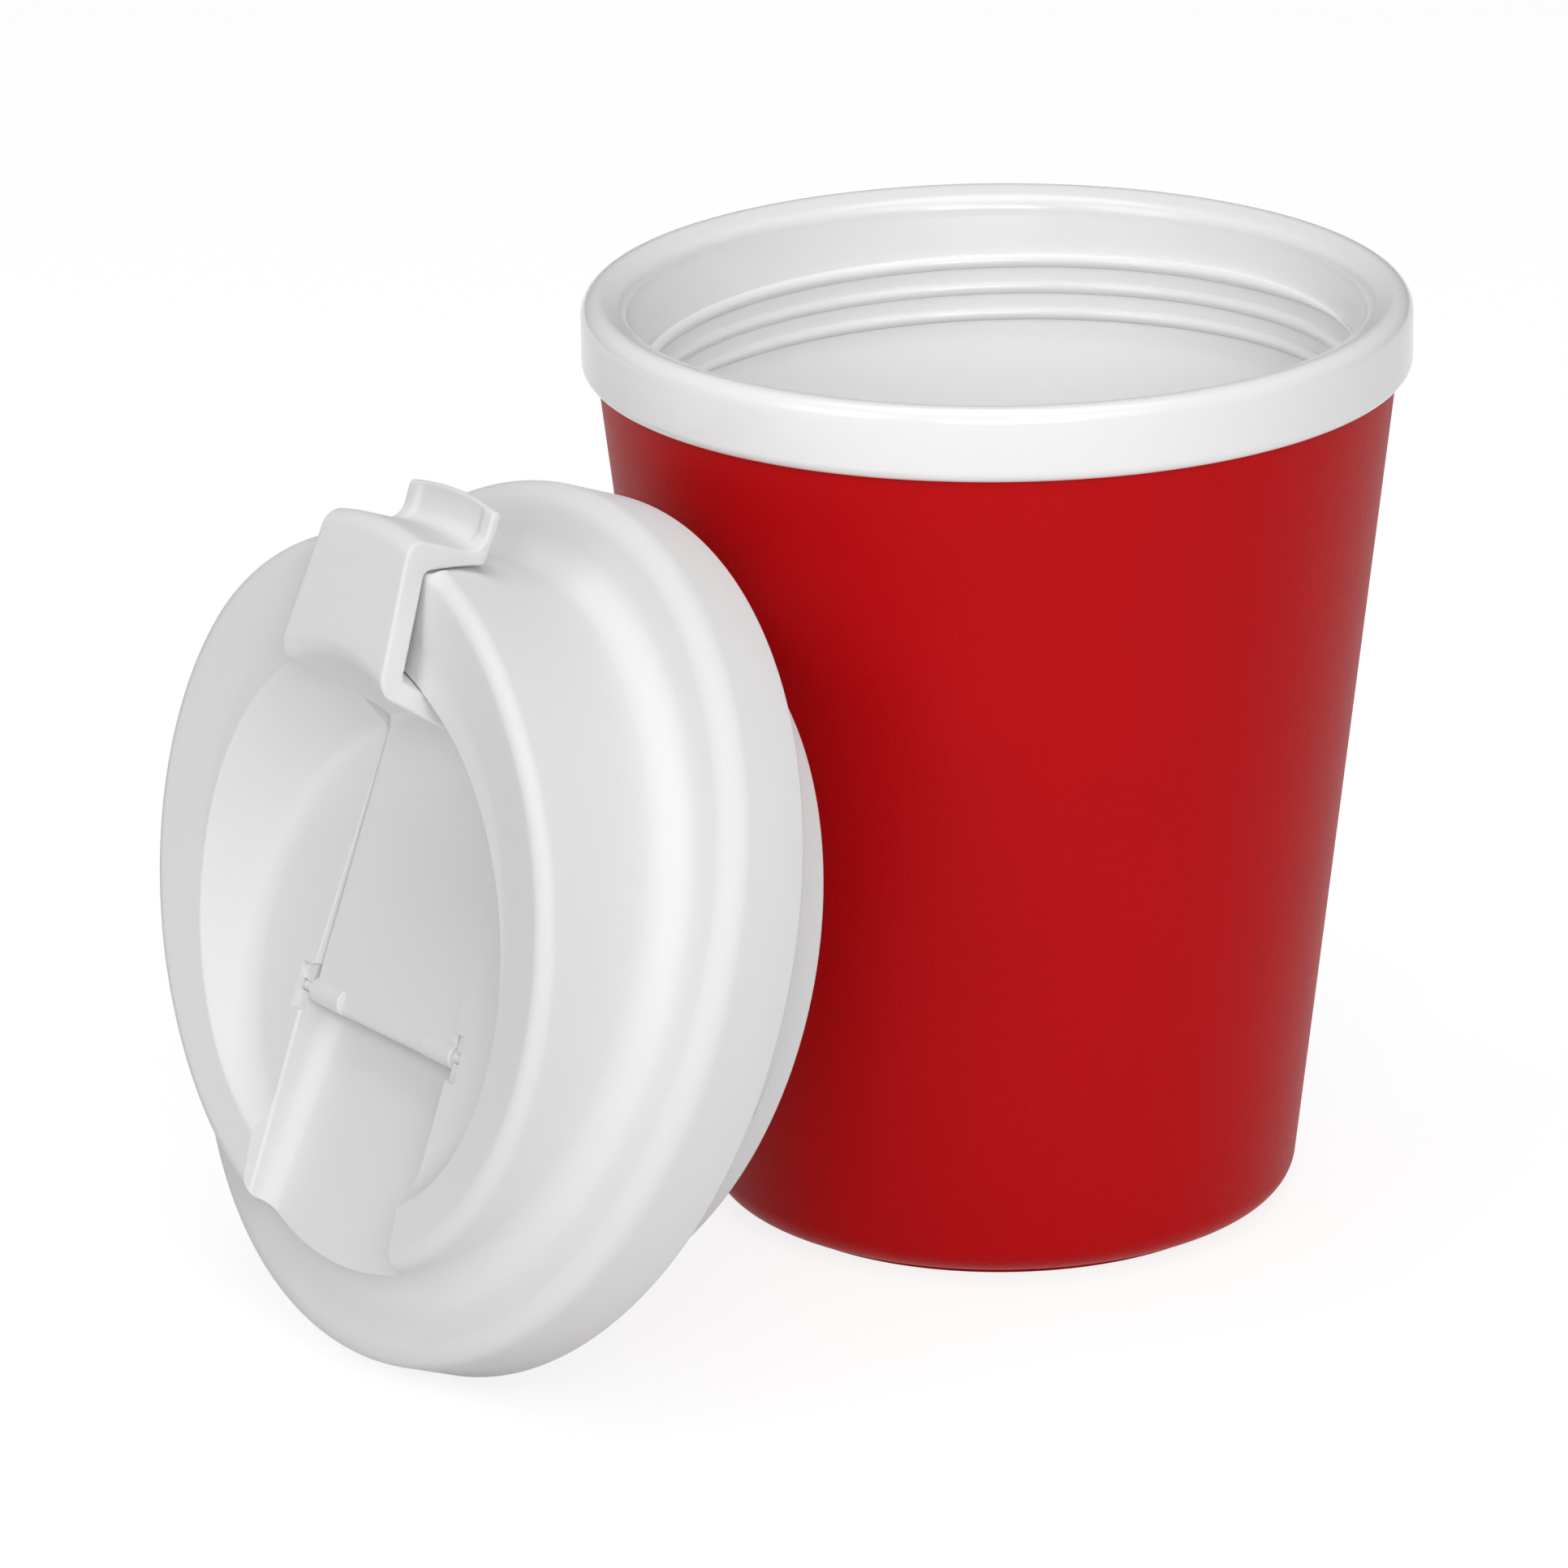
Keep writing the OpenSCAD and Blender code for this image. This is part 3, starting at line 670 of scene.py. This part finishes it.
# off the cup, the lid stands on its skirt and leans its plug on the shell
lid_place = (
    Matrix.Translation(Vector((-51.3897, -42.3925, 45.4154)) * 0.001)
    @ Matrix.Rotation(math.radians(214.71), 4, "Z")
    @ Matrix.Rotation(math.radians(69.33), 4, "Y")
    @ Matrix.Rotation(math.radians(91.49), 4, "Z")
)
lid.data.transform(lid_place)

satin = Finish("satin white", {"Specular IOR Level": 0.5})
cloud = satin.noise(30, 2.0)
satin.feed("Base Color", satin.blend(cloud, (0.79, 0.79, 0.79, 1), (0.82, 0.82, 0.815, 1)))
satin.feed("Roughness", 0.34 + 0.08 * satin.noise(500, 2.0))
satin.relief(satin.noise(1800, 2.0, 0.6), 0.00002)
lid.data.materials.append(satin.material)
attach(lid, "cup")
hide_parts("lid_body", "lid_plug")

# Thread on the lid's plug. Two rounded ridges of the same lead as the neck's, moulded
# in one with the plug below the seal, so that they run under the neck's ridges.
plug_thread = wound(
    "plug_thread",
    winding,
    {
        "Starts": 2,
        "Turns": 1.3,
        "Lead": thread_lead,
        "Wall radius": plug_radius * 0.001,
        "Ridge radius": 0.0009,
        "Foot height": -0.0088,
        "Material": satin.material,
    },
)
plug_thread.data.transform(lid_place)
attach(plug_thread, "cup")

# Seal. A soft, pale silicone ring with two rounded lips, stretched into the groove
# round the plug. It presses on the plain bore in the cup's rim.
seal_inner = plug_radius - groove_depth + 0.05
seal_foot = groove_foot + 0.05
seal_lip = 2.9 / 4
seal_out = 40.9 - seal_lip
seal_outline = (
    [(seal_inner, seal_foot)]
    + arc((seal_out, seal_foot + seal_lip), seal_lip, -90, 60, 12)
    + arc((seal_out, seal_foot + 3 * seal_lip), seal_lip, -60, 90, 12)
    + [(seal_inner, seal_foot + 4 * seal_lip), (seal_inner, seal_foot)]
)
seal = turned("lid_seal", seal_outline, crease=50)
seal.data.transform(lid_place)
silicone = Finish("pale silicone", {"Specular IOR Level": 0.4})
cloud = silicone.noise(90, 2.0)
silicone.feed("Base Color", silicone.blend(cloud, (0.62, 0.62, 0.60, 1), (0.67, 0.67, 0.65, 1)))
silicone.feed("Roughness", 0.42 + 0.1 * silicone.noise(700, 2.0))
silicone.relief(silicone.noise(900, 2.0), 0.00002)
seal.data.materials.append(silicone.material)
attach(seal, "cup")
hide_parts("lid_seal")

# Flip closure. One satin white moulding: a flat strip with two knuckles and trunnions
# that snap into the lid's sockets, a riser and a plate that follow the recess's curve,
# a bung under the plate, and a thumb leg with a dished lip at the drinking side.
plate_half = 10.35
leg_half = 8.4
leg_radius = 41.1
leg_round = 2.0
bend_round = 2.2
bend_height = plate_height - bend_round
bend_radius = riser_front(bend_height) + bend_round / math.cos(math.radians(10))
plate_under = pad_height + 0.3
lip_radius = 45.7
lip_height = 24.9
lip_thick = 1.2
scoop = 2.0
closure_edge = 0.4
leg_reach = swing_radius + 0.3
leg_corner = 25.2
riser_low = 14.2


def on_swing(z):
    """How far out the leg's inner face is, on a round about the hinge."""
    return hinge[0] + math.sqrt(leg_reach**2 - (z - hinge[1]) ** 2)


# each station is an upper and an under point: (way, distance, height), where the way is
# "along" for a straight line across, "round" for an arc about the lid's axis, or
# "strip" for a share of the strip's length up to the riser's curved foot
stations = []
end_turns = np.radians(np.linspace(0, 90, 7))
for t in end_turns:
    along = 1.1 * (1 - math.cos(t)) * 0.8
    rise = strip_thick / 2 * math.sin(t)
    middle = strip_top(strip_end) - strip_thick / 2
    stations.append((("strip+", along, middle + rise), ("strip+", along, middle - rise)))
for share in np.linspace(0.05, 1, 16):
    stations.append((("strip", share, 0.0), ("strip", share, -strip_thick)))
foot_z = strip_top(22)
foot_r = riser_front(foot_z)
foot_soft = 0.9
foot_arc = arc((foot_r - foot_soft, foot_z + foot_soft), foot_soft, -80, -10, 5)
for k, (across, up) in enumerate(foot_arc):
    share = k / 5
    under = foot_r + 0.3 + share * (riser_thick - 0.3)
    stations.append((("round", across, up), ("round", under, strip_top(under) - strip_thick)))
for share in np.linspace(0, 1, 8)[1:]:
    top_z = foot_z + foot_soft + share * (bend_height - foot_z - foot_soft)
    low_z = riser_low + share * (plate_under - 0.8 - riser_low)
    low_r = riser_front(low_z) + riser_thick
    stations.append((("round", riser_front(top_z), top_z), ("round", low_r, low_z)))
corner = riser_front(plate_under) + riser_thick
bend = arc((bend_radius, bend_height), bend_round, 170, 90, 10)
for k, (r, z) in enumerate(bend[1:]):
    share = k / 9
    low = (corner - 0.1 * (1 - share) + 0.8 * share**2, plate_under - 0.8 * (1 - share) ** 2)
    stations.append((("round", r, z), ("round", *low)))
for r in np.linspace(bend_radius, leg_radius - leg_round, 9)[1:]:
    low_r = min(corner + 0.8 + (r - bend_radius) * 0.95, on_swing(plate_under) - 0.6)
    stations.append((("round", r, plate_height), ("level", low_r, plate_under)))
leg_arc = arc((leg_radius - leg_round, plate_height - leg_round), leg_round, 90, 0, 10)
for k, (r, z) in enumerate(leg_arc[1:]):
    share = (k + 1) / 10
    low_z = plate_under - 0.8 * share**2
    low_u = on_swing(low_z) - 0.6 * (1 - share) ** 2
    stations.append((("round", r, z), ("along", low_u, low_z)))
for share in np.linspace(0, 1, 7)[1:]:
    z = plate_height - leg_round + share * (lip_height + scoop - plate_height + leg_round)
    low_z = plate_under - 0.8 + share * (leg_corner - plate_under + 0.8)
    stations.append((("round", leg_radius, z), ("along", on_swing(low_z), low_z)))
scoop_arc = arc((leg_radius + scoop, lip_height + scoop), scoop, 180, 270, 9)
for k, (r, z) in enumerate(scoop_arc[1:]):
    share = (k + 1) / 9
    low_z = leg_corner + share * (lip_height - lip_thick - leg_corner)
    low_u = on_swing(low_z) + 3.6 * max(share - 0.55, 0) ** 2 / 0.2
    stations.append((("round", r, z), ("along", low_u, low_z)))
tip = lip_thick / 2
for r in (43.8, 44.5, 45.1):
    stations.append((("round", r, lip_height), ("round", r, lip_height - lip_thick)))
for t in np.radians(np.linspace(0, 90, 7))[1:]:
    r = lip_radius - tip + tip * math.sin(t)
    rise = tip * math.cos(t)
    stations.append((("round", r, lip_height - tip + rise), ("round", r, lip_height - tip - rise)))

closure_plan_u = [strip_end, 18.3, 23.31, 40.3]
closure_plan_half = [strip_half, strip_foot_half, plate_half, leg_half]


def closure_point(spec, share, upper_face):
    """A point of the closure at a share of its half width, -1 to 1."""
    way, distance, z = spec
    v, u = 0.0, distance
    for _ in range(6):
        if way == "round":
            u = math.sqrt(distance**2 - v**2)
        elif way == "strip":
            foot = math.sqrt((foot_r - foot_soft) ** 2 - v**2)
            u = strip_end + 0.9 + distance * (foot - 0.05 - strip_end - 0.9)
            z = strip_top(u) + spec[2]
        elif way == "strip+":
            u = strip_end + distance
        elif way == "level":
            blend = (distance - corner) / (on_swing(plate_under) - corner)
            curved = math.sqrt(distance**2 - v**2)
            u = curved + (distance - curved) * max(0, min(1, blend)) ** 2
        half = float(np.interp(u, closure_plan_u, closure_plan_half))
        v = share * (half - closure_edge)
    if upper_face and way == "strip":
        z -= 0.22 * (1 - share**2) * min(1, 6 * distance)
    if upper_face and z < lip_height + 1.2 and way == "round" and distance > leg_radius:
        margin = np.clip((0.84 - abs(share)) / 0.12, 0, 1)
        z -= 0.32 * margin * margin * (3 - 2 * margin) * min(1, (lip_radius - distance) / 0.8)
    return np.array([v, u, z])


def closure_loop(share):
    """All points round the closure's thickness at that share of its half width."""
    top = [closure_point(a, share, True) for a, _ in stations]
    low = [closure_point(b, share, False) for _, b in stations]
    return np.array(top + low[::-1][1:-1])


def inset(loop, side, turn):
    """The loop drawn in and moved aside round the closure's soft side edge."""
    before, after = np.roll(loop, 1, axis=0), np.roll(loop, -1, axis=0)
    run = after - before
    out = np.stack([np.zeros(len(loop)), -run[:, 2], run[:, 1]], axis=1)
    out /= np.maximum(np.linalg.norm(out, axis=1, keepdims=True), 1e-9)
    moved = loop - out * closure_edge * (1 - math.cos(turn))
    moved[:, 0] += side * closure_edge * math.sin(turn)
    return moved


rows = [inset(closure_loop(-1.0), -1, t) for t in np.radians([90, 67, 45, 22])]
rows += [closure_loop(share) for share in np.linspace(-1, 1, 45)]
rows += [inset(closure_loop(1.0), 1, t) for t in np.radians([22, 45, 67, 90])]
count = len(rows[0])
sides = []
for k in range(len(stations) - 1):
    corners = (k, k + 1, (count - k - 1) % count, (count - k) % count)
    sides.append(list(dict.fromkeys(corners)))
closure = skinned("flip_closure", rows, 35, sides)
for side in (-1, 1):
    ends = sorted((side * 8.25, side * strip_half))
    joined(closure, bar("knuckle", knuckle_radius, *ends), "UNION")
joined(closure, bar("trunnion", trunnion_radius, -trunnion_end, trunnion_end), "UNION")
bung = round_ended(12.3, 4.0, drink_off + 0.35, pad_height - 1.8, plate_under + 0.3, 0.4)
joined(closure, bung, "UNION")
tidied(closure, 35)
closure.data.transform(lid_place)
closure.data.materials.append(satin.material)
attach(closure, "flip")
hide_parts("flip_closure")

# Studio. A plain white table under four soft boxes: a strong one in front, weaker ones on
# both sides and a broad one overhead. The camera stands where the photograph's did.
bpy.ops.mesh.primitive_plane_add(size=8)
table = bpy.context.object
table.name = "table"
paper = Finish("table white", {"Roughness": 0.9, "Specular IOR Level": 0.1})
paper.shader.inputs["Base Color"].default_value = (0.86, 0.86, 0.86, 1)
glow = paper.node("ShaderNodeEmission", sockets={"Color": (1, 1, 1, 1), "Strength": 1.2})
ray = paper.node("ShaderNodeLightPath").outputs
seen = Amount(paper, ray["Is Camera Ray"]) + Amount(paper, ray["Is Glossy Ray"])
seen = 0.7 * (seen + Amount(paper, ray["Is Transmission Ray"]))
mixed = {0: seen, 1: paper.shader.outputs[0], 2: glow.outputs[0]}
mixed = paper.node("ShaderNodeMixShader", sockets=mixed)
paper.tree.links.new(mixed.outputs[0], paper.tree.nodes["Material Output"].inputs["Surface"])
table.data.materials.append(paper.material)

world = bpy.data.worlds.new("studio")
bpy.context.scene.world = world
world.use_nodes = True
room = world.node_tree.nodes
dim = room["Background"]
dim.inputs["Color"].default_value = (1, 1, 1, 1)
dim.inputs["Strength"].default_value = 0.13
bright = room.new("ShaderNodeBackground")
bright.inputs["Strength"].default_value = 1.0
which = room.new("ShaderNodeMixShader")
path = room.new("ShaderNodeLightPath")
world.node_tree.links.new(path.outputs["Is Camera Ray"], which.inputs[0])
world.node_tree.links.new(dim.outputs[0], which.inputs[1])
world.node_tree.links.new(bright.outputs[0], which.inputs[2])
world.node_tree.links.new(which.outputs[0], room["World Output"].inputs["Surface"])

for name, place, size, power in (
    ("soft box right", (0.55, -1.05, 1.05), (0.8, 0.8), 3.4),
    ("soft box left", (-0.95, -0.85, 0.85), (0.7, 0.9), 4.4),
    ("soft box above", (0.0, 0.0, 1.45), (1.2, 1.0), 7.6),
    ("soft box front", (0.1, -1.5, 0.75), (1.0, 0.6), 10.4),
):
    lamp = bpy.data.lights.new(name, "AREA")
    lamp.shape = "RECTANGLE"
    lamp.size, lamp.size_y = size
    lamp.energy = power
    box = bpy.data.objects.new(name, lamp)
    box.location = place
    aim = Vector((-0.02, -0.02, 0.05)) - Vector(place)
    box.rotation_euler = aim.to_track_quat("-Z", "Y").to_euler()
    bpy.context.scene.collection.objects.link(box)

pitch, yaw, roll = (math.radians(angle) for angle in (18.946, -1.3029, 0.7568))
ahead = Vector((math.sin(yaw), math.cos(yaw), 0))
aside = Vector((math.cos(yaw), -math.sin(yaw), 0))
up = Vector((0, 0, 1))
sight = ahead * math.cos(pitch) - up * math.sin(pitch)
down = -(up * math.cos(pitch) + ahead * math.sin(pitch))
right = aside * math.cos(roll) + down * math.sin(roll)
down = -aside * math.sin(roll) + down * math.cos(roll)
lens = bpy.data.cameras.new("camera")
lens.angle = math.radians(8.95437)
camera = bpy.data.objects.new("camera", lens)
turning = Matrix((right, -down, -sight)).transposed().to_4x4()
camera.matrix_world = Matrix.Translation((0, -1.06398, 0.41309)) @ turning
bpy.context.scene.collection.objects.link(camera)
bpy.context.scene.camera = camera
bpy.context.scene.view_settings.view_transform = "Standard"
